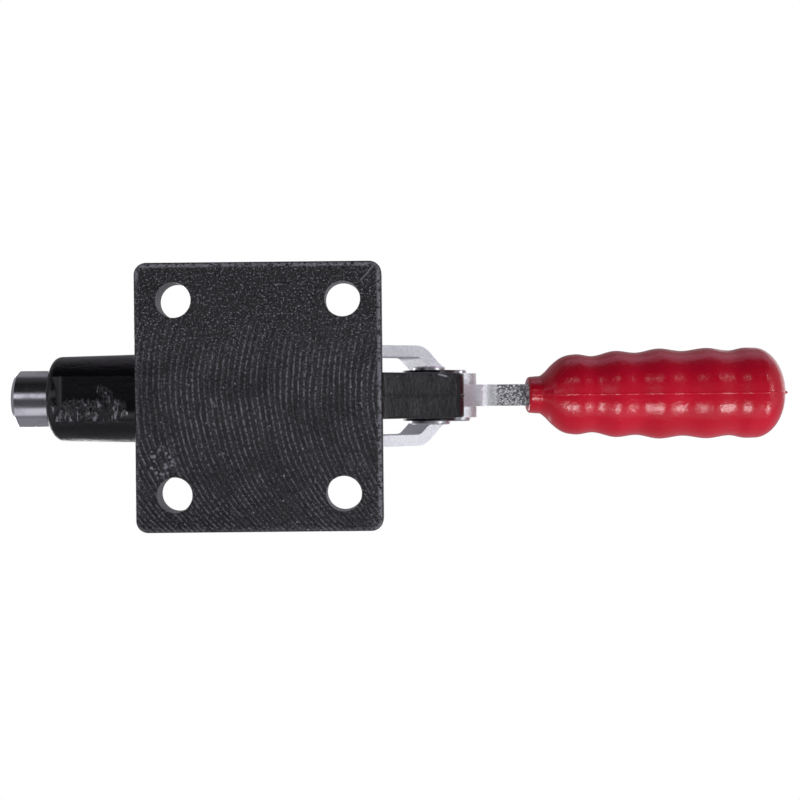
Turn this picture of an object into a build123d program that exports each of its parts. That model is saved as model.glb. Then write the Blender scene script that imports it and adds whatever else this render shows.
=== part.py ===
"""Straight-line toggle clamp with a cast body, a sliding plunger and a lever worked by hand.

Frame: the origin is the middle of the four bolt holes on the mounting face, +X is the way the
plunger pushes, +Z is up from the mounting face. All lengths are in millimetres. The clamp is
drawn open: lever lying back, plunger drawn in.
"""
import os
from math import asin, atan2, cos, degrees, radians, sin, tan

from build123d import *

os.makedirs("parts", exist_ok=True)

# Base plate and its bolt holes
hole_pitch_x = 41.3
hole_pitch_y = 47.6
hole_r = 4.35
plate_len = 60.5
plate_wid = 66.0
plate_thk = 7.5
plate_corner_r = 3.0
plate_edge_r = 0.6

# Plunger and the fit it runs in
axis_z = 25.0
plunger_r = 7.5
running_gap = 0.05
nose_proud = 9.8
tail_reach = 7.0
nose_chamfer = 1.0
tap_core_r = 4.25
tap_depth = 20.0
drill_angle = 118.0

# Barrel, cradle and web of the casting
barrel_front_x = 56.4
barrel_rear_x = 22.0
barrel_front_r = 11.1
barrel_rear_r = 11.85
barrel_front_round = 2.2
barrel_rear_round = 1.2
web_wid = 11.4
keel_z = 12.5
keel_nose_len = 4.4
keel_nose_rise = 3.5
keel_edge_r = 0.9
cradle_rear_x = -4.0
cradle_r = 10.0
cradle_gap = 0.35
cradle_rim_z = 20.0
spine_top_z = 13.0
foot_r = 2.5

# Lever pivot, link pivot and plunger cross pin at rest
pivot_x = -42.3
crank_r = 19.3
crank_angle = 113.5
link_len = 36.0
over_centre = 3.0

# Rear post
post_wid = 11.5
post_eye_r = 7.6
post_boss_r = 7.0
post_boss_wid = 13.2
post_heel_r = 5.0
post_heel_reach = 8.8
post_heel_z = 19.5
post_root_z = 1.2
post_front_x = -24.0
post_edge_r = 0.6
seam_rise = 0.15
seam_wid = 0.5
slot_gap = 0.15
slot_eye_gap = 0.4
sill_angle = 213.5
stop_gap = 0.06

# Lever
lever_thk = 6.0
lever_eye_r = 7.2
lever_link_eye_r = 6.2
bar_z = 50.0
bar_h = 11.0
bar_turn_x = -51.5
bar_under_r = 4.0
heel_reach = 9.3
heel_spread = 16.0
tang_h = 9.0
tang_end_x = -126.0
tang_step_x = -74.0

# Links
link_thk = 3.0
link_half_w = 5.75
link_side_gap = 0.06
link_spread = 10.45
joggle_start = 7.0
joggle_end = 14.8
bend_in_r = 2.4

# Pins and their heads
pivot_pin_r = 3.0
pivot_head_near_r = 5.4
pivot_head_far_r = 4.2
link_pin_r = 2.5
link_head_near_r = 4.0
link_head_far_r = 3.05
cross_pin_r = 3.5
cross_shank_r = 2.75
cross_head_r = 4.1
head_thk = 1.0
head_dome = 0.35

# Relief for the cross pin in the plunger tail
relief_gap = 0.25
relief_steps = 24

# Grip
grip_front_x = -70.6
grip_len = 73.4
collar_len = 3.2
collar_r = 5.0
collar_lip = 0.8
grip_crests = ((13.6, 11.35), (24.9, 12.25), (37.2, 12.8), (50.8, 12.95), (61.2, 12.8))
grip_valleys = ((18.4, 10.85), (30.9, 11.7), (44.0, 12.05), (57.8, 12.1))
grip_shoulder = ((5.1, 5.85), (6.6, 7.3), (9.4, 9.95))
grip_dome_len = 9.2
flare_slope = 0.2
collar_rings = ((0.0, 5.0, 7.9), (3.4, 5.05, 8.0), (6.0, 6.6, 8.8), (9.0, 9.2, 10.0))
sprue_r = 0.7
sprue_len = 0.9

# Derived pin positions: crank angles turn up from +X
crank_end_angle = -over_centre
swing = crank_angle + over_centre


def on_crank(angle):
    """Place of the link pivot when the crank stands at the given angle."""
    return pivot_x + crank_r * cos(radians(angle)), axis_z + crank_r * sin(radians(angle))


def link_lean(angle):
    """Angle of the link from +X when its front end lies on the plunger axis."""
    return -degrees(asin(crank_r * sin(radians(angle)) / link_len))


crank_x, crank_z = on_crank(crank_angle)
rest_lean = link_lean(crank_angle)
end_lean = link_lean(crank_end_angle)
cross_x = crank_x + link_len * cos(radians(rest_lean))
cross_end_x = on_crank(crank_end_angle)[0] + link_len * cos(radians(end_lean))
stroke = cross_end_x - cross_x


def spot(x, z, radius):
    """Round outline in the side view."""
    return Pos(x, z) * Circle(radius)


def taut(*outlines):
    """Outline of a band drawn tight round several outlines."""
    whole = Sketch() + list(outlines)
    return make_hull(whole.edges())


def slab(outline, width):
    """Side-view outline given a width shared evenly to both sides of the mid-plane."""
    return extrude(Plane.XZ * outline, amount=width / 2, both=True)


def outline_of(*points):
    """Closed side-view outline through the given points."""
    return make_face(Polyline(*points, close=True))


def turned(profile):
    """Round body about the plunger axis from an (x, radius) profile."""
    axis = Axis((0, 0, axis_z), (1, 0, 0))
    return revolve(Plane((0, 0, axis_z), x_dir=(1, 0, 0), z_dir=(0, -1, 0)) * profile, axis)


def cross_bore(x, z, radius, width):
    """Round bar lying across the clamp."""
    return slab(spot(x, z, radius), width)


def plate():
    """Mounting plate with rounded corners, eased edges and four bolt holes."""
    face = RectangleRounded(plate_len, plate_wid, plate_corner_r)
    body = extrude(face, amount=plate_thk)
    rims = body.edges().group_by(Axis.Z)
    body = fillet(rims[0] + rims[-1], plate_edge_r)
    pattern = Sketch() + GridLocations(hole_pitch_x, hole_pitch_y, 2, 2) * Circle(hole_r)
    return body - extrude(pattern, amount=plate_thk)


def barrel_shell():
    """Tapered barrel before boring, with its ends rounded over."""
    profile = outline_of(
        (barrel_rear_x, 0),
        (barrel_front_x, 0),
        (barrel_front_x, barrel_front_r),
        (barrel_rear_x, barrel_rear_r),
    )
    rims = profile.vertices().sort_by(Axis.Y)[2:].sort_by(Axis.X)
    profile = fillet(rims[-1:], barrel_front_round)
    rims = profile.vertices().sort_by(Axis.Y)[-1:]
    profile = fillet(rims, barrel_rear_round)
    return turned(profile)


def cradle():
    """Open trough behind the barrel that carries the plunger from below."""
    length = barrel_rear_x - cradle_rear_x + barrel_rear_round
    ring = Circle(cradle_r) - Circle(plunger_r + cradle_gap)
    trough = extrude(Plane((cradle_rear_x, 0, axis_z), x_dir=(0, 1, 0), z_dir=(1, 0, 0)) * ring, amount=length)
    drop = axis_z - cradle_rim_z
    cover = Pos(cradle_rear_x + length / 2, 0, axis_z + cradle_r / 2 - drop / 2)
    return trough - cover * Box(length, 2 * cradle_r, cradle_r + drop)


def web():
    """Upright web that joins barrel, cradle and rear post to the plate."""
    trough_seat = axis_z - (plunger_r + cradle_gap + cradle_r) / 2
    side = outline_of(
        (post_front_x, plate_thk / 2),
        (plate_len / 2 - plate_edge_r, plate_thk / 2),
        (plate_len / 2 - plate_edge_r, keel_z),
        (barrel_front_x - keel_nose_len, keel_z),
        (barrel_front_x - barrel_front_round / 2, keel_z + keel_nose_rise),
        (barrel_front_x - barrel_front_round / 2, axis_z - plunger_r),
        (barrel_rear_x, trough_seat),
        (cradle_rear_x, trough_seat),
        (cradle_rear_x - foot_r, spine_top_z),
        (post_front_x, spine_top_z),
    )
    nose = side.vertices().filter_by(lambda v: abs(v.Y - keel_z) < 1e-6).sort_by(Axis.X)[-1:]
    body = slab(fillet(nose, foot_r), web_wid)
    rails = body.edges().filter_by(Axis.X).group_by(Axis.Z)[0]
    return fillet(rails, keel_edge_r)


def foot():
    """Flared root where the web runs out into the top of the plate."""
    length = plate_len / 2 - plate_edge_r - post_front_x
    middle = (plate_len / 2 - plate_edge_r + post_front_x) / 2
    low = Pos(middle, 0, plate_thk) * Rectangle(length, web_wid + 2 * foot_r)
    high = Pos(middle, 0, plate_thk + foot_r) * Rectangle(length, web_wid)
    return loft([low.face(), high.face()])


def rear_post():
    """Post with eased edges and a mould seam, rising behind the plate to the eye of the lever pivot."""
    root = Pos(-plate_len / 2 + plate_edge_r, post_root_z + foot_r) * Circle(foot_r)
    toe = Pos(post_front_x, plate_thk) * Circle(foot_r)
    heel = spot(pivot_x - post_heel_reach + post_heel_r, post_heel_z, post_heel_r)
    side = taut(spot(pivot_x, axis_z, post_eye_r), heel, root, toe)
    boss = cross_bore(pivot_x, axis_z, post_boss_r, post_boss_wid)
    body = slab(side, post_wid)
    body = fillet(body.faces().filter_by(Axis.Y).edges(), post_edge_r)
    seam = slab(offset(side, seam_rise), seam_wid)
    return body + seam + boss


def lever_slot():
    """Slot between the cheeks: a round bed, a sill behind and a landing in front."""
    bed_r = lever_eye_r + slot_eye_gap
    reach = post_eye_r + crank_r + link_len
    back = radians(sill_angle)
    edge_drop = asin((lever_eye_r - lever_link_eye_r) / crank_r)
    rise = radians(crank_end_angle) + edge_drop
    foot_x = pivot_x + (lever_eye_r + stop_gap) * sin(rise)
    foot_z = axis_z - (lever_eye_r + stop_gap) * cos(rise)
    open_space = outline_of(
        (pivot_x, axis_z),
        (pivot_x + reach * cos(back), axis_z + reach * sin(back)),
        (pivot_x - reach, axis_z + reach),
        (pivot_x + reach, axis_z + reach),
        (foot_x + reach * cos(rise), foot_z + reach * sin(rise)),
        (foot_x, foot_z),
    )
    return slab(open_space + spot(pivot_x, axis_z, bed_r), lever_thk + 2 * slot_gap)


def base_casting():
    """Plate, barrel, cradle, web and rear post cast in one, then bored."""
    body = plate() + foot() + web() + barrel_shell() + cradle() + rear_post()
    body = body - lever_slot()
    bore_r = plunger_r + running_gap
    over = barrel_front_round
    bore = outline_of(
        (barrel_rear_x - over, 0),
        (barrel_front_x + over, 0),
        (barrel_front_x + over, bore_r + over + nose_chamfer / 2),
        (barrel_front_x - nose_chamfer / 2, bore_r),
        (barrel_rear_x - over, bore_r),
    )
    body = body - turned(bore)
    return body - cross_bore(pivot_x, axis_z, pivot_pin_r, post_boss_wid)


def relief_outline():
    """Path of the cross pin over the plunger tail, swept to its radius and left open on top.

    The lever turns by even steps while link and plunger follow in proportion, so the pin
    leaves the plunger axis and comes back to it at both ends of the stroke.
    """
    sweep_r = cross_pin_r + relief_gap
    places = []
    for step in range(relief_steps + 1):
        part = step / relief_steps
        angle = crank_angle - swing * part
        lean = radians(rest_lean + (end_lean - rest_lean) * part)
        eye_x, eye_z = on_crank(angle)
        x = eye_x + link_len * cos(lean) - stroke * part
        z = eye_z + link_len * sin(lean)
        places.append((x, z))
    top = axis_z + plunger_r + sweep_r
    spots = []
    for x, z in places:
        spots.append(spot(x, z, sweep_r))
        spots.append(spot(x, top, sweep_r))
    return taut(*spots)


def plunger():
    """Ground plunger with a tapped nose and a saddle for the cross pin in its tail."""
    nose_x = barrel_front_x + nose_proud
    tail_x = cross_x - tail_reach
    profile = outline_of(
        (tail_x, 0),
        (nose_x, 0),
        (nose_x, plunger_r - nose_chamfer),
        (nose_x - nose_chamfer, plunger_r),
        (tail_x + nose_chamfer, plunger_r),
        (tail_x, plunger_r - nose_chamfer),
    )
    point = tap_core_r / tan(radians(drill_angle / 2))
    tap = outline_of(
        (nose_x - tap_depth - point, 0),
        (nose_x + nose_chamfer, 0),
        (nose_x + nose_chamfer, tap_core_r + 2 * nose_chamfer),
        (nose_x - nose_chamfer, tap_core_r),
        (nose_x - tap_depth, tap_core_r),
    )
    body = turned(profile) - turned(tap)
    return body - slab(relief_outline(), 2 * plunger_r + nose_chamfer)


def lever_outline():
    """Side outline of the blanked lever: pivot eye, link eye, level bar and stop heel."""
    arm = taut(spot(pivot_x, axis_z, lever_eye_r), spot(crank_x, crank_z, lever_link_eye_r))
    turn = spot(bar_turn_x, bar_z, bar_h / 2)
    neck = taut(spot(crank_x, crank_z, lever_link_eye_r), turn)
    bar = taut(turn, Pos(tang_step_x, bar_z) * Rectangle(bar_h / 2, bar_h))
    side = arm + neck + bar
    side = offset(offset(side, bar_under_r), -bar_under_r)
    heel_mid = sill_angle - heel_spread / 2
    heel = outline_of(
        (pivot_x, axis_z),
        polar(pivot_x, axis_z, heel_reach, heel_mid - heel_spread / 2),
        polar(pivot_x, axis_z, heel_reach, heel_mid),
        polar(pivot_x, axis_z, heel_reach, sill_angle - degrees(stop_gap / lever_eye_r)),
    )
    return side + heel


def polar(x, z, radius, angle):
    """Point at a radius and angle from a centre."""
    return x + radius * cos(radians(angle)), z + radius * sin(radians(angle))


def tang_outline():
    """Part of the bar that lies inside the grip, stepped down and rounded at its end."""
    end = spot(tang_end_x + tang_h / 2, bar_z, tang_h / 2)
    return taut(end, Pos(tang_step_x, bar_z) * Rectangle(bar_h / 2, tang_h))


def lever():
    """Flat lever with running bores for the pivot rivet and the link rivet."""
    body = slab(lever_outline() + tang_outline(), lever_thk)
    body = body - cross_bore(pivot_x, axis_z, pivot_pin_r + running_gap, lever_thk)
    return body - cross_bore(crank_x, crank_z, link_pin_r + running_gap, lever_thk)


def grip_side():
    """Half outline of the grip seen from below: collar, shoulder, swells and domed end."""
    dome_x = grip_len - grip_dome_len
    dome_r = grip_crests[-1][1]
    side = Spline(
        (collar_len, collar_r),
        *grip_shoulder,
        *sorted(grip_crests + grip_valleys),
        (dome_x, dome_r),
        tangents=((1, flare_slope), (1, 0)),
    )
    dome = EllipticalCenterArc((dome_x, 0), grip_dome_len, dome_r, start_angle=0, arc_size=90)
    front = Polyline((collar_len, collar_r), (0, collar_r), (0, 0), (grip_len, 0))
    profile = make_face(side + dome + front)
    lip = profile.vertices().filter_by(lambda v: abs(v.X) < collar_lip / 4 and v.Y > collar_r / 2)
    return fillet(lip, collar_lip)


def grip():
    """Moulded grip with an oval collar, five swells, a domed end and a sprue nib, closed over the tang."""
    seat = Plane((grip_front_x, 0, bar_z), x_dir=(-1, 0, 0), z_dir=(0, 1, 0))
    body = revolve(seat * grip_side(), Axis((grip_front_x, 0, bar_z), (1, 0, 0)))
    mouth = Plane((grip_front_x, 0, bar_z), x_dir=(0, 1, 0), z_dir=(-1, 0, 0))
    sections = []
    for depth, half_y, half_z in collar_rings:
        sections.append((mouth.offset(depth) * Ellipse(half_y, half_z)).face())
    collar = loft(sections)
    collar = fillet(collar.edges().sort_by(Axis.X)[-1:], collar_lip)
    tip_seat = mouth.offset(grip_len - sprue_r)
    tip_end = tip_seat.offset(sprue_len + sprue_r)
    tip = loft([(tip_seat * Circle(sprue_r)).face(), (tip_end * Circle(sprue_r / 3)).face()])
    pocket = slab(lever_outline() + tang_outline(), lever_thk)
    return body + collar + tip - pocket


def link_strip():
    """Edge view of a link, along its length and outward: flat, cranked out, flat again."""
    inner = lever_thk / 2 + link_side_gap
    rise = link_spread - inner
    slope = atan2(rise, joggle_end - joggle_start)
    shift = link_thk * tan(slope / 2)
    before = -link_half_w
    beyond = link_len + link_half_w
    near_face = ((before, inner), (joggle_start, inner), (joggle_end, link_spread), (beyond, link_spread))
    far_face = (
        (beyond, link_spread + link_thk),
        (joggle_end - shift, link_spread + link_thk),
        (joggle_start - shift, inner + link_thk),
        (before, inner + link_thk),
    )
    strip = make_face(Polyline(*near_face, *far_face, close=True))
    out_r = bend_in_r + link_thk
    for x, y, radius in (
        (*near_face[1], out_r),
        (*near_face[2], bend_in_r),
        (*far_face[1], out_r),
        (*far_face[2], bend_in_r),
    ):
        corner = strip.vertices().sort_by_distance((x, y, 0))[:1]
        strip = fillet(corner, radius)
    return strip


def link(side):
    """One bowed link: strip bent outward, its ends rounded and both eyes pierced."""
    strip = extrude(link_strip(), amount=link_half_w, both=True)
    ends = taut(Circle(link_half_w), Pos(link_len, 0) * Circle(link_half_w))
    blank = strip & slab(ends, 2 * (link_spread + 2 * link_thk))
    blank = blank - cross_bore(0, 0, link_pin_r, 2 * link_spread)
    blank = blank - Pos(0, link_spread, 0) * cross_bore(link_len, 0, cross_shank_r, 4 * link_thk)
    if side < 0:
        blank = mirror(blank, Plane.XZ)
    return Pos(crank_x, 0, crank_z) * Rot(0, -rest_lean, 0) * blank


def rivet(x, z, grip_width, shank_r, near_r, far_r, belly=None):
    """Headed pin across the clamp, with flat domed heads and an optional thicker middle."""
    half = grip_width / 2
    crown = half + head_thk
    soft = head_thk - head_dome
    right = ((0, -crown), (near_r - head_dome, -crown), (near_r, -half - soft), (near_r, -half), (shank_r, -half))
    left = ((shank_r, half), (far_r, half), (far_r, half + soft), (far_r - head_dome, crown), (0, crown))
    middle = ()
    if belly:
        belly_r, reach = belly
        middle = ((shank_r, -reach), (belly_r, -reach), (belly_r, reach), (shank_r, reach))
    profile = make_face(Polyline(*right, *middle, *left, close=True))
    return Pos(x, 0, z) * revolve(profile, Axis.Y)


def save(body, name):
    """Write one piece under its own name."""
    body.label = name
    export_step(body, "parts/" + name + ".step")


link_outer_wid = lever_thk + 2 * (link_side_gap + link_thk)
cross_outer_wid = 2 * (link_spread + link_thk)

save(base_casting(), "base_casting")
save(rivet(pivot_x, axis_z, post_boss_wid, pivot_pin_r, pivot_head_near_r, pivot_head_far_r), "pivot_rivet")
save(lever(), "lever")
save(grip(), "grip")
save(link(1), "left_link")
save(link(-1), "right_link")
save(rivet(crank_x, crank_z, link_outer_wid, link_pin_r, link_head_near_r, link_head_far_r), "link_rivet")
save(
    rivet(cross_x, axis_z, cross_outer_wid, cross_shank_r, cross_head_r, cross_head_r, (cross_pin_r, link_spread)),
    "plunger_pin",
)
save(plunger(), "plunger")
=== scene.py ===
"""Straight-line toggle clamp, seen from under its mounting face, on a pale ground in soft light."""
import math

import bpy
import numpy as np
from mathutils import Matrix, Vector


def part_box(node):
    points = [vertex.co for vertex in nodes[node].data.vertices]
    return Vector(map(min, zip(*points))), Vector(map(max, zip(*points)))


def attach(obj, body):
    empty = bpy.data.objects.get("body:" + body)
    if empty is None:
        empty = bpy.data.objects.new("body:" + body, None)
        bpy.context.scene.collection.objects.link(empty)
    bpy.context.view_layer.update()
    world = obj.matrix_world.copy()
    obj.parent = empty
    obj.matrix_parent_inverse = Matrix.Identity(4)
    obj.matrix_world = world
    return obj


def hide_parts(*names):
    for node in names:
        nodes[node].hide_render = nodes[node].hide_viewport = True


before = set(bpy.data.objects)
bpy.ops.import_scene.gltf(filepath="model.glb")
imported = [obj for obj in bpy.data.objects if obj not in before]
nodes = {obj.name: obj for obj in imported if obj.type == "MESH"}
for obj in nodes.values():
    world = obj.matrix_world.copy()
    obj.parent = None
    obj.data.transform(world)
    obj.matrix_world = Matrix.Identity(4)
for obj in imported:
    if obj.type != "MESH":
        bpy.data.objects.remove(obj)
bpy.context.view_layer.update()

# Base casting. One iron casting carries the mounting plate, barrel, web and rear post. Its mounting
# face was milled flat with a large cutter that left arcs, and then all of it was dipped in thick
# black enamel, which ran smooth on the barrel and stayed pebbly on the rough skin.


class Wire:
    """A socket that takes part in sums: each operator adds the Math node that works it out."""

    def __init__(self, tree, socket=None):
        self.tree, self.socket = tree, socket

    def node(self, kind, settings=None, values=None, out=0):
        """Adds a node of any kind: its settings first, then the values or links of its sockets."""
        made = self.tree.nodes.new(kind)
        for name, value in (settings or {}).items():
            setattr(made, name, value)
        for name, value in (values or {}).items():
            if isinstance(value, Wire):
                self.tree.links.new(value.socket, made.inputs[name])
            else:
                made.inputs[name].default_value = value
        return Wire(self.tree, made.outputs[out] if len(made.outputs) else None)

    def math(self, operation, *terms):
        """Math node on up to three values, each a number or a wire."""
        return self.node("ShaderNodeMath", {"operation": operation}, dict(enumerate(terms)))

    def __add__(self, other):
        return self.math("ADD", self, other)

    def __sub__(self, other):
        return self.math("SUBTRACT", self, other)

    def __mul__(self, other):
        return self.math("MULTIPLY", self, other)

    def __truediv__(self, other):
        return self.math("DIVIDE", self, other)

    def __radd__(self, other):
        return self.math("ADD", other, self)

    def __rsub__(self, other):
        return self.math("SUBTRACT", other, self)

    def __rmul__(self, other):
        return self.math("MULTIPLY", other, self)

    def rise(self, low, high):
        """Goes smoothly from 0 to 1 as the value goes from low to high, or down if low is the greater."""
        if low > high:
            return 1 - self.rise(high, low)
        settings = {"interpolation_type": "SMOOTHSTEP"}
        values = {"Value": self, "From Min": low, "From Max": high}
        return self.node("ShaderNodeMapRange", settings, values)

    def mix(self, colour_a, colour_b):
        """Colour that goes from a to b as this value goes from 0 to 1."""
        full = [(*c, 1.0) if isinstance(c, tuple) else c for c in (colour_a, colour_b)]
        values = {0: self, 6: full[0], 7: full[1]}
        return self.node("ShaderNodeMix", {"data_type": "RGBA", "clamp_factor": True}, values, out=2)

    def noise(self, scale, detail=2.0, rough=0.5, stretch=(1.0, 1.0, 1.0), lean=0.0):
        """Cloudy pattern: the place is scaled along each axis by stretch, then turned about Z by lean."""
        moves = {0: self, 2: (0.0, 0.0, lean), 3: stretch}
        place = self.node("ShaderNodeMapping", {"vector_type": "POINT"}, moves)
        values = {"Vector": place, "Scale": scale, "Detail": detail, "Roughness": rough}
        return self.node("ShaderNodeTexNoise", {"noise_dimensions": "3D"}, values)

    def cells(self, scale):
        """Distance to the nearest of many scattered points."""
        return self.node("ShaderNodeTexVoronoi", None, {"Vector": self, "Scale": scale})

    def axes(self):
        """The three parts of a place."""
        parts = self.node("ShaderNodeSeparateXYZ", None, {0: self}).socket.node
        return [Wire(self.tree, parts.outputs[i]) for i in range(3)]


MM_PER_METRE = 1000.0


def finish(name, pattern, **fixed):
    """Material with one Principled shader. pattern gets the place in millimetres and gives what varies."""
    material = bpy.data.materials.new(name)
    material.use_nodes = True
    tree = material.node_tree
    tree.nodes.clear()
    start = Wire(tree)
    place = start.node("ShaderNodeTexCoord", out="Object")
    place = place.node("ShaderNodeVectorMath", {"operation": "SCALE"}, {0: place, 3: MM_PER_METRE})
    varied = pattern(place)
    relief = {"Height": varied.pop("height"), "Strength": varied.pop("bump"), "Distance": 1 / MM_PER_METRE}
    bump = start.node("ShaderNodeBump", None, relief)
    shader = start.node("ShaderNodeBsdfPrincipled", None, {**fixed, **varied, "Normal": bump})
    start.node("ShaderNodeOutputMaterial", None, {0: shader})
    return material


def dress(node, material):
    """The node's faces all take this material."""
    for slot in nodes[node].material_slots:
        slot.material = material


def near(place, start, end, width):
    """1 on a straight mark between two points of the face, and 0 from its width outward."""
    ax, ay = start
    run_x, run_y = end[0] - ax, end[1] - ay
    x, y = place.axes()[:2]
    share = ((x - ax) * run_x + (y - ay) * run_y) / (run_x**2 + run_y**2)
    share = place.math("MINIMUM", place.math("MAXIMUM", share, 0.0), 1.0)
    side = x - ax - share * run_x
    rest = y - ay - share * run_y
    return place.math("SQRT", side * side + rest * rest).rise(width, width * 0.3)


CUTTER_R, CUTTER_Y, FEED = 47.0, 2.0, 1.42
HALF_FEED, DRIFT = 0.37, 2.2
ARCS_FADE_Y, ROUGH_FROM_Y = (22.0, 7.0), (5.0, 20.0)
SCRATCH, SCRATCH_WIDE = ((-28.2, 31.5), (-25.4, 28.4)), 0.35
DENT, DENT_WIDE = ((11.6, -0.6), (10.6, -2.2)), 0.55
SCUFF_X, SCUFF_Y, SCUFF_R = 24.0, -15.6, 4.5


def milled(place):
    """Height, worn paint and painted sparkle of the mounting face: arcs of the cutter, a pebbly top end,
    scuffs and marks.

    An arc is the set of points whose X less the bow of the cutter's circle at that Y is constant, so
    that difference, in feeds of the cutter, is the phase of the ridges.
    """
    x, y, z = place.axes()
    off = y - CUTTER_Y
    bow = place.math("SQRT", place.math("MAXIMUM", CUTTER_R**2 - off * off, 1.0)) - CUTTER_R
    drift = (place.noise(0.06, 2.0) - 0.5) * DRIFT
    travel = x - bow + drift
    crest = place.math("SINE", travel * (2 * math.pi / FEED)).rise(0.2, 1.0)
    half = place.math("SINE", travel * (2 * math.pi / FEED * HALF_FEED)).rise(0.5, 1.0)
    strand = place.node("ShaderNodeCombineXYZ", None, {0: travel * 2.6, 1: y * 0.10, 2: z})
    scrape = strand.noise(1.0, 4.0, 0.7) - 0.5
    faded = y.rise(*ARCS_FADE_Y) * 0.85 + 0.15
    patchy = place.noise(0.085, 3.0).rise(0.36, 0.60) * 0.65 + 0.35
    cut = faded * patchy
    broken = place.noise(1.3, 3.0, 0.7).rise(0.40, 0.60)
    pebble = place.noise(1.7, 3.0, 0.62) - 0.5
    # spark is painted sparkle: pale specks in the colour that stand for glints of light on the pebbly
    # enamel, far more of them on the top end.
    painted_sparkle = place.noise(2.1, 2.0, 0.5).rise(0.57, 0.70)
    pimple = place.cells(0.75).rise(0.30, 0.08) * place.noise(0.25, 2.0).rise(0.42, 0.6)
    rough_end = y.rise(*ROUGH_FROM_Y) * 0.8 + 0.2
    scuff_x, scuff_y = x - SCUFF_X, y - SCUFF_Y
    scuffed = (scuff_x * scuff_x + scuff_y * scuff_y).rise(SCUFF_R**2, 3.0)
    flecks = place.cells(0.9).rise(0.46, 0.26) * scuffed
    specks = place.cells(0.34).rise(0.095, 0.05)
    marks = near(place, *SCRATCH, SCRATCH_WIDE) + near(place, *DENT, DENT_WIDE) * 0.5
    height = cut * (crest * 0.10 + half * 0.06 + scrape * 0.28) + pebble * (0.12 + rough_end * 0.34)
    height = height + pimple * 0.12 * rough_end + flecks * 0.12 - marks * 0.08
    wear_and_glint = cut * broken * (crest * 0.52 + scrape.rise(0.06, 0.26) * 0.60 + half * 0.10)
    wear_and_glint = wear_and_glint + pimple * 0.30 * rough_end + painted_sparkle * (0.08 + rough_end * 0.80)
    wear_and_glint = wear_and_glint + specks * 0.7 + flecks * 0.8 + marks * 0.5
    return height, wear_and_glint


PLATE_HALF_X, PLATE_HALF_Y = 30.25, 33.0
KEEL_HALF, KEEL_FLOOR, KEEL_CROWN = 5.7, 14.5, 1.5
RUN_FROM_Y, RUN_FROM_X = (0.2, -1.6), (34.0, 38.0)
RUN_PATCH, PATCH_WIDE = ((41.2, 2.2), (39.8, 1.0)), 1.7
PARTING_Y, PARTING_FROM_X = -0.1, (-30.5, -31.0)
CHIP, CHIP_WIDE, CHIP_UNDER_Z = ((-44.4, 5.3), (-46.4, 4.8)), 0.35, (21.0, 19.0)


def cast_skin(place):
    """Height of the skin as cast, its worn paint with a painted highlight on the keel's wrinkles, and where
    the keel under the barrel is.

    The keel is smooth: it falls away by the cube of the place across it on one side, and carries a run
    of wrinkled paint whose crests carry a painted highlight, pale in their colour. A fine line along the
    post sharpens the seam of the mould.
    """
    x, y, z = place.axes()
    pebble = place.noise(1.1, 4.0, 0.6) - 0.5
    sag = place.noise(0.22, 2.0, 0.5, (0.5, 1.0, 1.0)) - 0.5
    across = place.math("MAXIMUM", 0 - y, 0.0)
    keel = z.rise(KEEL_FLOOR + 0.4, KEEL_FLOOR - 0.6) * x.rise(PLATE_HALF_X - 0.5, PLATE_HALF_X + 0.5)
    crown = across * across * across * (-KEEL_CROWN / KEEL_HALF**3)
    wrinkle = place.noise(0.75, 3.0, 0.6, (1.7, 0.6, 1.0)) - 0.5
    run = y.rise(*RUN_FROM_Y) * x.rise(*RUN_FROM_X) + near(place, *RUN_PATCH, PATCH_WIDE)
    run = run * place.noise(0.30, 2.0).rise(0.30, 0.52)
    parting = place.math("ABSOLUTE", y - PARTING_Y).rise(0.40, 0.10) * x.rise(*PARTING_FROM_X)
    height = pebble * (0.16 - keel * 0.13) + sag * (0.3 - keel * 0.24)
    height = height + keel * (wrinkle * run * 1.25 + crown) + parting * 0.12
    chip = near(place, *CHIP, CHIP_WIDE) * z.rise(*CHIP_UNDER_Z)
    # glint is a painted highlight: pale colour on the crests of the wrinkled run that stands for the glints
    # of light on them.
    glint = wrinkle.rise(0.05, 0.14) * run * keel
    return height - chip * 0.1, chip + glint, keel


ENAMEL_DEEP, ENAMEL_WORN_AND_GLINT = (0.0028, 0.0028, 0.0042), (0.215, 0.215, 0.245)
RIM_INNER, RIM_OUTER = (-1.5, -0.9), (-0.2, -0.5)
WORN_FROM_Y, WORN_FROM_X = (26.0, 30.0), (-27.0, -29.0)


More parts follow.
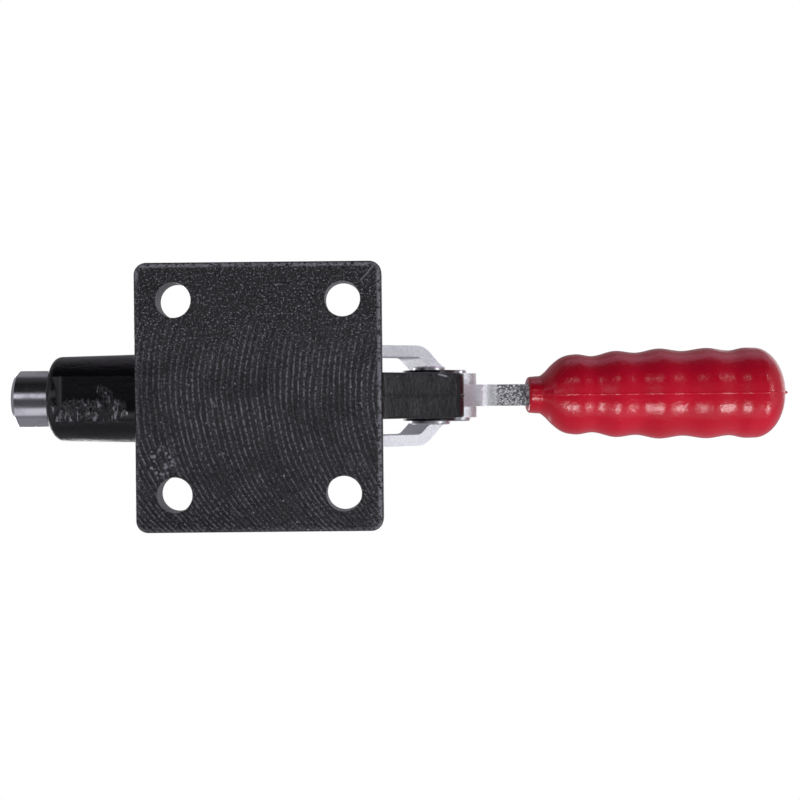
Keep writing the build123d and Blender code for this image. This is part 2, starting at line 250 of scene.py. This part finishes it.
def enamel(place):
    """Thick black enamel over the milled face and the cast skin, rubbed thin along the rim of the plate,
    with painted glints and sparkle in its colour.
    """
    x, y, z = place.axes()
    face = z.rise(0.35, 0.05)
    face_height, face_wear_and_glint = milled(place)
    skin_height, skin_wear_and_glint, keel = cast_skin(place)
    grain = place.noise(3.4, 3.0, 0.6) - 0.5
    edge_x = place.math("ABSOLUTE", x) - PLATE_HALF_X
    edge_y = place.math("ABSOLUTE", y) - PLATE_HALF_Y
    edge = place.math("MAXIMUM", edge_x, edge_y)
    worn = place.math("MAXIMUM", y.rise(*WORN_FROM_Y), x.rise(*WORN_FROM_X)) * 0.8 + 0.2
    rim = edge.rise(*RIM_INNER) * edge.rise(*RIM_OUTER) * face * worn
    rim = rim * place.noise(0.8, 4.0, 0.7).rise(0.40, 0.56)
    height = face * face_height + (1 - face) * skin_height + grain * (0.03 - keel * 0.03)
    # The colour mixes worn paint with painted light: a highlight on the keel's wrinkles and sparkle on the
    # milled face.
    wear_and_glint = place.math("MINIMUM", face * face_wear_and_glint + (1 - face) * skin_wear_and_glint + rim * 0.75, 1.0)
    tone = wear_and_glint.mix(ENAMEL_DEEP, ENAMEL_WORN_AND_GLINT)
    rough = 0.20 + face * 0.03 - keel * 0.05 + grain * 0.14 + wear_and_glint * 0.15
    return {"height": height, "bump": 1.0, "Base Color": tone, "Roughness": rough}


black_enamel = finish("thick black enamel", enamel, IOR=1.43)
dress("base_casting", black_enamel)

# Plunger. A steel rod, turned to size and then ground and polished along its length, with a tapped
# hole in the nose. The grinding leaves fine rings round the rod.


def surface(name, body, material, points, poles=None):
    """Closed piece from a grid of points (rings, around, 3), in millimetres.

    The rings end in two poles, or without poles the last ring joins the first. A face looks the way of
    its step round the ring crossed with its step to the next ring.
    """
    rings, around = points.shape[:2]
    corners = points.reshape(-1, 3)
    along = np.arange(rings - 1 if poles else rings)[:, None]
    turn = np.arange(around)[None, :]
    quads = np.stack(np.broadcast_arrays(
        along * around + turn,
        along * around + (turn + 1) % around,
        (along + 1) % rings * around + (turn + 1) % around,
        (along + 1) % rings * around + turn,
    ), axis=-1).reshape(-1, 4)
    faces = quads.tolist()
    if poles:
        first, last = len(corners), len(corners) + 1
        corners = np.vstack((corners, poles))
        rim, base = np.arange(around), (rings - 1) * around
        after = (rim + 1) % around
        faces += np.stack((np.full(around, first), after, rim), axis=-1).tolist()
        faces += np.stack((np.full(around, last), base + rim, base + after), axis=-1).tolist()
    mesh = bpy.data.meshes.new(name)
    mesh.from_pydata(corners / MM_PER_METRE, [], faces)
    mesh.polygons.foreach_set("use_smooth", np.ones(len(faces), dtype=bool))
    mesh.materials.append(material)
    piece = bpy.data.objects.new(name, mesh)
    bpy.context.scene.collection.objects.link(piece)
    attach(piece, body)
    return piece


def ground(place):
    """Bright steel with fine rings, which change fast along X and hardly across it, and faint stains."""
    x, y, z = place.axes()
    strand = place.node("ShaderNodeCombineXYZ", None, {0: x * 7.0, 1: y * 0.05, 2: z * 0.05})
    ring = strand.noise(1.0, 4.0, 0.7) - 0.5
    stain = place.noise(0.22, 4.0).rise(0.45, 0.72)
    tone = stain.mix((0.66, 0.655, 0.68), (0.50, 0.49, 0.53))
    rough = 0.15 + ring * 0.10 + stain * 0.07
    return {"height": ring * 0.020, "bump": 0.6, "Base Color": tone, "Roughness": rough}


ground_steel = finish("ground bright steel", ground, Metallic=1.0)
dress("plunger", ground_steel)

THREAD_PITCH, THREAD_CORE_R, THREAD_DEPTH = 1.5, 4.25, 0.30
THREAD_FROM, THREAD_TO, THREAD_FIT, THREAD_WALL = 2.2, 18.7, 0.02, 0.3


def nose_thread():
    """Thread in the nose: the inside runs in and out by a cosine of the place along it less the turn."""
    low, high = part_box("plunger")
    nose_x = high[0] * MM_PER_METRE
    axis_z = (low[2] + high[2]) / 2 * MM_PER_METRE
    depth = np.linspace(THREAD_FROM, THREAD_TO, 150)
    turn = np.linspace(0.0, 2 * np.pi, 96, endpoint=False)
    wave = 0.5 - 0.5 * np.cos(2 * np.pi * depth[:, None] / THREAD_PITCH - turn[None, :])
    runout = np.clip(np.minimum(depth - THREAD_FROM, THREAD_TO - depth) / THREAD_PITCH, 0.0, 1.0)
    inside = THREAD_CORE_R - THREAD_FIT - THREAD_DEPTH * wave * runout[:, None]
    outside = np.full((2, len(turn)), THREAD_CORE_R + THREAD_WALL)
    radius = np.vstack((inside, outside))
    station = np.concatenate((depth, (THREAD_TO, THREAD_FROM)))
    x = np.broadcast_to(nose_x - station[:, None], radius.shape)
    points = np.stack((x, radius * np.cos(turn), axis_z + radius * np.sin(turn)), axis=-1)
    surface("nose_thread", "plunger", ground_steel, points)


nose_thread()

# Links, lever and rivets. All are blanked from strip or headed from wire, then zinc plated. The
# sheared edges keep the torn grain of the break under the plating, and the flats stay smooth.


TORN_X = -61.5


def plated(place):
    """Zinc over steel: a fine sparkle on the flats, whose normal lies along Y, and torn grain elsewhere."""
    x = place.axes()[0]
    torn = place.noise(1.9, 4.0, 0.65) - 0.5
    crystal = place.cells(2.2).rise(0.0, 0.55) - 0.5
    fine = place.noise(7.0, 3.0, 0.6) - 0.5
    facing = place.node("ShaderNodeNewGeometry", out="Normal").axes()[1]
    flat = place.math("ABSOLUTE", facing).rise(0.75, 0.95)
    edge = 1 - flat
    deep = edge * x.rise(TORN_X + 1.0, TORN_X - 1.0)
    height = edge * (torn * 0.10 + crystal * 0.05) + deep * torn * 0.5 + fine * 0.02
    tone = torn.rise(-0.25, 0.25).mix((0.60, 0.605, 0.63), (0.80, 0.805, 0.83))
    tone = (deep * torn.rise(0.12, -0.08)).mix(tone, (0.12, 0.12, 0.13))
    rough = 0.36 + edge * 0.12 + fine * 0.2
    return {"height": height, "bump": 0.8, "Base Color": tone, "Roughness": rough}


zinc_plate = finish("zinc plate over sheared steel", plated, Metallic=1.0)
for name in ("left_link", "right_link", "lever"):
    dress(name, zinc_plate)


def headed(place):
    """Zinc over a headed rivet: smooth, with a faint mottle."""
    fine = place.noise(3.0, 3.0, 0.6) - 0.5
    tone = fine.rise(-0.3, 0.3).mix((0.56, 0.565, 0.59), (0.68, 0.685, 0.71))
    return {"height": fine * 0.05, "bump": 0.6, "Base Color": tone, "Roughness": 0.3 + fine * 0.2}


rivet_zinc = finish("zinc plate on headed rivets", headed, Metallic=1.0)
for name in ("pivot_rivet", "link_rivet", "plunger_pin"):
    dress(name, rivet_zinc)

# Grip. Glossy red plastic moulded over the tang of the lever in a two-part mould: the halves leave
# a seam along the underside and top, and the sprue leaves a nib at the domed end.


SCORE, SCORE_WIDE = ((-82.4, 8.9), (-78.9, 5.2)), 0.22
SCRATCH_LEAN, SCRATCH_STRETCH = 0.6, (0.35, 3.0, 1.0)


def moulded(place):
    """Glossy red plastic with an orange skin, faint flow and a few fine scratches."""
    skin = place.noise(0.85, 3.0, 0.55) - 0.5
    fine = place.noise(5.0, 3.0, 0.6) - 0.5
    scratch = place.noise(1.6, 2.0, 0.5, SCRATCH_STRETCH, SCRATCH_LEAN).rise(0.73, 0.79)
    scratch = scratch + near(place, *SCORE, SCORE_WIDE)
    flow = place.noise(0.07, 2.0, 0.5, (0.5, 1.0, 1.0))
    tone = flow.rise(0.3, 0.7).mix((0.49, 0.0026, 0.0180), (0.57, 0.0036, 0.0250))
    height = skin * 0.13 + fine * 0.006 - scratch * 0.02
    rough = 0.22 + fine * 0.12 + scratch * 0.2
    return {"height": height, "bump": 0.7, "Base Color": tone, "Roughness": rough}


red_plastic = finish("glossy red plastic", moulded, IOR=1.45)

SWELLS = (
    (0.0, 5.1), (3.2, 5.3), (5.1, 6.5), (6.6, 8.1), (9.4, 10.35),
    (13.6, 11.4), (18.4, 10.85), (24.9, 12.25), (30.9, 11.7), (37.2, 12.8),
    (44.0, 12.05), (50.8, 12.85), (57.8, 12.1), (61.4, 12.8), (64.2, 12.8),
)
DOME_LEN, LIP_R = 8.4, 0.8
COLLAR_TALL, COLLAR_FROM, COLLAR_FADE = 2.9, 3.4, 8.0
SEAM_RISE, SEAM_HALF, SEAM_CROWD = 0.08, 0.22, 0.4
NIB_R, NIB_LEN, NIB_CURVE, NIB_TIP_R = 0.90, 1.60, 0.8, 0.06
MOUTH_Y, MOUTH_Z, MOUTH_DEEP = 2.8, 5.3, 0.35
SIDE_RINGS, LIP_RINGS, DOME_RINGS, NIB_RINGS, AROUND = 215, 7, 32, 6, 240


def moulded_grip():
    """Grip as one skin of rings: mouth, lip, collar, swells, dome and nib, with a seam below and above.

    Between two stations the radius follows a cubic whose slope at a station comes from its two
    neighbours, and the dome is a quarter ellipse. The collar's rings are ovals that turn round by the
    first swell. The turn is measured from +Y and spaced closer at the seam, which stands up as a
    narrow bell curve. It goes from +Z to +Y, so that the faces look outwards.
    """
    low, high = (np.array(corner) * MM_PER_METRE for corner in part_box("grip"))
    station, radius = np.array(SWELLS).T
    slope = np.gradient(radius, station)
    slope[:2] = slope[-1] = 0.0
    side = np.linspace(LIP_R, station[-1], SIDE_RINGS)
    step = np.clip(np.searchsorted(station, side) - 1, 0, len(station) - 2)
    span = station[step + 1] - station[step]
    t = (side - station[step]) / span
    side_r = (2 * t**3 - 3 * t**2 + 1) * radius[step] + (3 * t**2 - 2 * t**3) * radius[step + 1]
    side_r += span * ((t**3 - 2 * t**2 + t) * slope[step] + (t**3 - t**2) * slope[step + 1])
    lip = np.linspace(0.0, np.pi / 2, LIP_RINGS)[:-1]
    arc = np.linspace(0.0, np.arccos(NIB_R / radius[-1]), DOME_RINGS)[1:]
    dome_s = station[-1] + DOME_LEN * np.sin(arc)
    dome_r = radius[-1] * np.cos(arc)
    cone = np.linspace(0.0, 1.0, NIB_RINGS)[1:]
    nib_r = NIB_R * (1 - cone) ** NIB_CURVE + NIB_TIP_R
    along = np.concatenate((LIP_R * (1 - np.cos(lip)), side, dome_s, dome_s[-1] + NIB_LEN * cone))
    lip_r = radius[0] - LIP_R * (1 - np.sin(lip))
    width = np.concatenate((lip_r, side_r, dome_r, nib_r))
    faded = np.clip((along - COLLAR_FROM) / COLLAR_FADE, 0.0, 1.0)
    extra = COLLAR_TALL * 0.5 * (1 + np.cos(np.pi * faded))
    even = np.linspace(0.0, 2 * np.pi, AROUND, endpoint=False)
    turn = (even + SEAM_CROWD * np.sin(2 * even))[::-1]
    off_seam = width[:, None] * np.cos(turn)[None, :]
    seam = SEAM_RISE * np.exp(-((off_seam / SEAM_HALF) ** 2))
    seam = seam * np.clip(width[:, None] / 4.0 - 0.5, 0.0, 1.0)
    y = (width[:, None] + seam) * np.cos(turn)
    z = (width[:, None] + extra[:, None] + seam) * np.sin(turn)
    x = np.broadcast_to(along[:, None], y.shape)
    mouth_y = np.clip(y[:1] * 2, -MOUTH_Y, MOUTH_Y)
    mouth_z = np.clip(z[:1] * 2, -MOUTH_Z, MOUTH_Z)
    x = np.vstack((np.full_like(mouth_y, MOUTH_DEEP), np.zeros_like(mouth_y), x))
    y = np.vstack((mouth_y, mouth_y * 1.06, y))
    z = np.vstack((mouth_z, mouth_z * 1.03, z))
    axis_z = (low[2] + high[2]) / 2
    points = np.stack((high[0] - x, y, axis_z + z), axis=-1)
    poles = [(high[0] - MOUTH_DEEP, 0.0, axis_z), (high[0] - along[-1] - 0.05, 0.0, axis_z)]
    piece = surface("moulded_grip", "handle", red_plastic, points, poles)
    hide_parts("grip")


moulded_grip()

# Stage. A pale ground that only a camera above it sees, soft lamps below and above, and a camera
# that looks up at the mounting face from 300 millimetres.


GROUND_HALF, GROUND_Z = 3.0, -0.0006


def stage_floor():
    """Pale ground just under the mounting face, seen from above only, with no part in the light."""
    mesh = bpy.data.meshes.new("ground")
    corners = [(x * GROUND_HALF, y * GROUND_HALF, GROUND_Z) for x, y in ((-1, -1), (1, -1), (1, 1), (-1, 1))]
    mesh.from_pydata(corners, [], [(0, 1, 2, 3)])
    floor = bpy.data.objects.new("ground", mesh)
    bpy.context.scene.collection.objects.link(floor)
    material = bpy.data.materials.new("pale ground")
    material.use_nodes = True
    tree = material.node_tree
    tree.nodes.clear()
    start = Wire(tree)
    seen = start.node("ShaderNodeLightPath", out="Is Camera Ray")
    seen = seen * (1 - start.node("ShaderNodeNewGeometry", out="Backfacing"))
    clear = start.node("ShaderNodeBsdfTransparent")
    pale = start.node("ShaderNodeBsdfDiffuse", None, {0: (0.82, 0.82, 0.82, 1.0)})
    both = start.node("ShaderNodeMixShader", None, {0: seen, 1: clear, 2: pale})
    start.node("ShaderNodeOutputMaterial", None, {0: both})
    mesh.materials.append(material)


stage_floor()


def lamp(name, place, aim, wide, tall, power, colour=(1.0, 1.0, 1.0)):
    """Soft oblong lamp at a place, turned towards its aim."""
    light = bpy.data.lights.new(name, "AREA")
    light.shape, light.size, light.size_y, light.energy = "RECTANGLE", wide, tall, power
    light.color = colour
    thing = bpy.data.objects.new(name, light)
    bpy.context.scene.collection.objects.link(thing)
    way = Vector(aim) - Vector(place)
    thing.matrix_world = Matrix.Translation(place) @ way.to_track_quat("-Z", "Y").to_matrix().to_4x4()


GRIP_AIM, DOME_AIM, CASTING_AIM = (-0.105, 0.0, 0.05), (-0.135, 0.0, 0.05), (-0.05, 0.0, 0.02)
PINK_VIOLET = (0.92, 0.62, 0.90)
lamp("near softbox", (0.019, -0.47, -0.52), GRIP_AIM, 0.13, 0.20, 1.5)
lamp("far softbox", (-0.530, -0.430, -0.400), GRIP_AIM, 0.13, 0.20, 1.5)
lamp("near slit", (0.019, 0.47, -0.52), GRIP_AIM, 0.10, 0.008, 0.15)
lamp("far slit", (-0.530, 0.430, -0.400), GRIP_AIM, 0.10, 0.008, 0.15)
lamp("end light", (-0.750, 0.078, -0.370), DOME_AIM, 0.12, 0.12, 0.5)
lamp("side fill", (-0.38, 0.90, 0.36), GRIP_AIM, 1.2, 0.5, 1.3, PINK_VIOLET)
lamp("over key", (0.85, -0.30, 1.25), CASTING_AIM, 0.9, 0.9, 9.0)
lamp("over fill", (-1.00, 0.36, 1.15), CASTING_AIM, 0.9, 0.9, 2.0)

# Studio room. The camera and rays through glass see white all round. Reflections and soft light see
# a dim room: a panel and a board below the casting, a dark flag beside them, and pale end walls.

ROOM_TINT = (0.92, 0.91, 1.0)
world = bpy.data.worlds.new("studio")
bpy.context.scene.world = world
world.use_nodes = True
world.node_tree.nodes.clear()
start = Wire(world.node_tree)
x, y, z = start.node("ShaderNodeTexCoord").axes()
tilt = start.math("ARCTAN2", y, 0 - z)
below = z.rise(-0.05, -0.45)
side = start.math("ABSOLUTE", x)
shift = x.rise(0.0, 0.2) * 0.15
panel = (tilt - shift).rise(-0.12, 0.0) * tilt.rise(0.44, 0.34) * x.rise(-0.16, -0.08)
board = tilt.rise(-1.30, -1.10) * tilt.rise(-0.55, -0.70)
flag = tilt.rise(0.42, 0.52) * tilt.rise(2.0, 1.6) * side.rise(0.85, 0.55)
ends = side.rise(0.50, 0.75) * z.rise(-0.20, -0.45)
wall = (0 - x).rise(-0.08, 0.20)
room = 0.08 + (1 - below) * 0.22 + wall * 0.10 + panel * (0.16 + x.rise(0.21, 0.28) * 0.95) + board * 0.70
room = start.math("MAXIMUM", room * (1 - flag * 0.82), ends * 0.95)
camera_ray = start.node("ShaderNodeLightPath", out="Is Camera Ray")
through_ray = start.node("ShaderNodeLightPath", out="Is Transmission Ray")
shown = start.math("MINIMUM", camera_ray + through_ray, 1.0)
tint = shown.mix(ROOM_TINT, (1.0, 1.0, 1.0))
back = start.node("ShaderNodeBackground", None, {0: tint, 1: shown + (1 - shown) * room})
start.node("ShaderNodeOutputWorld", None, {0: back})

CAMERA_PLACE, ROLL = (-0.0345, -0.0011, -0.300), math.radians(0.57)
LENS, SENSOR = 55.4, 36.0
camera_data = bpy.data.cameras.new("camera")
camera_data.lens, camera_data.sensor_width, camera_data.sensor_fit = LENS, SENSOR, "HORIZONTAL"
camera_data.clip_start, camera_data.clip_end = 0.01, 10.0
camera = bpy.data.objects.new("camera", camera_data)
bpy.context.scene.collection.objects.link(camera)
right = Vector((-math.cos(ROLL), -math.sin(ROLL), 0.0))
up = Vector((-math.sin(ROLL), math.cos(ROLL), 0.0))
turn = Matrix((right, up, right.cross(up))).transposed().to_4x4()
camera.matrix_world = Matrix.Translation(CAMERA_PLACE) @ turn
bpy.context.scene.camera = camera
bpy.context.scene.view_settings.view_transform = "Standard"
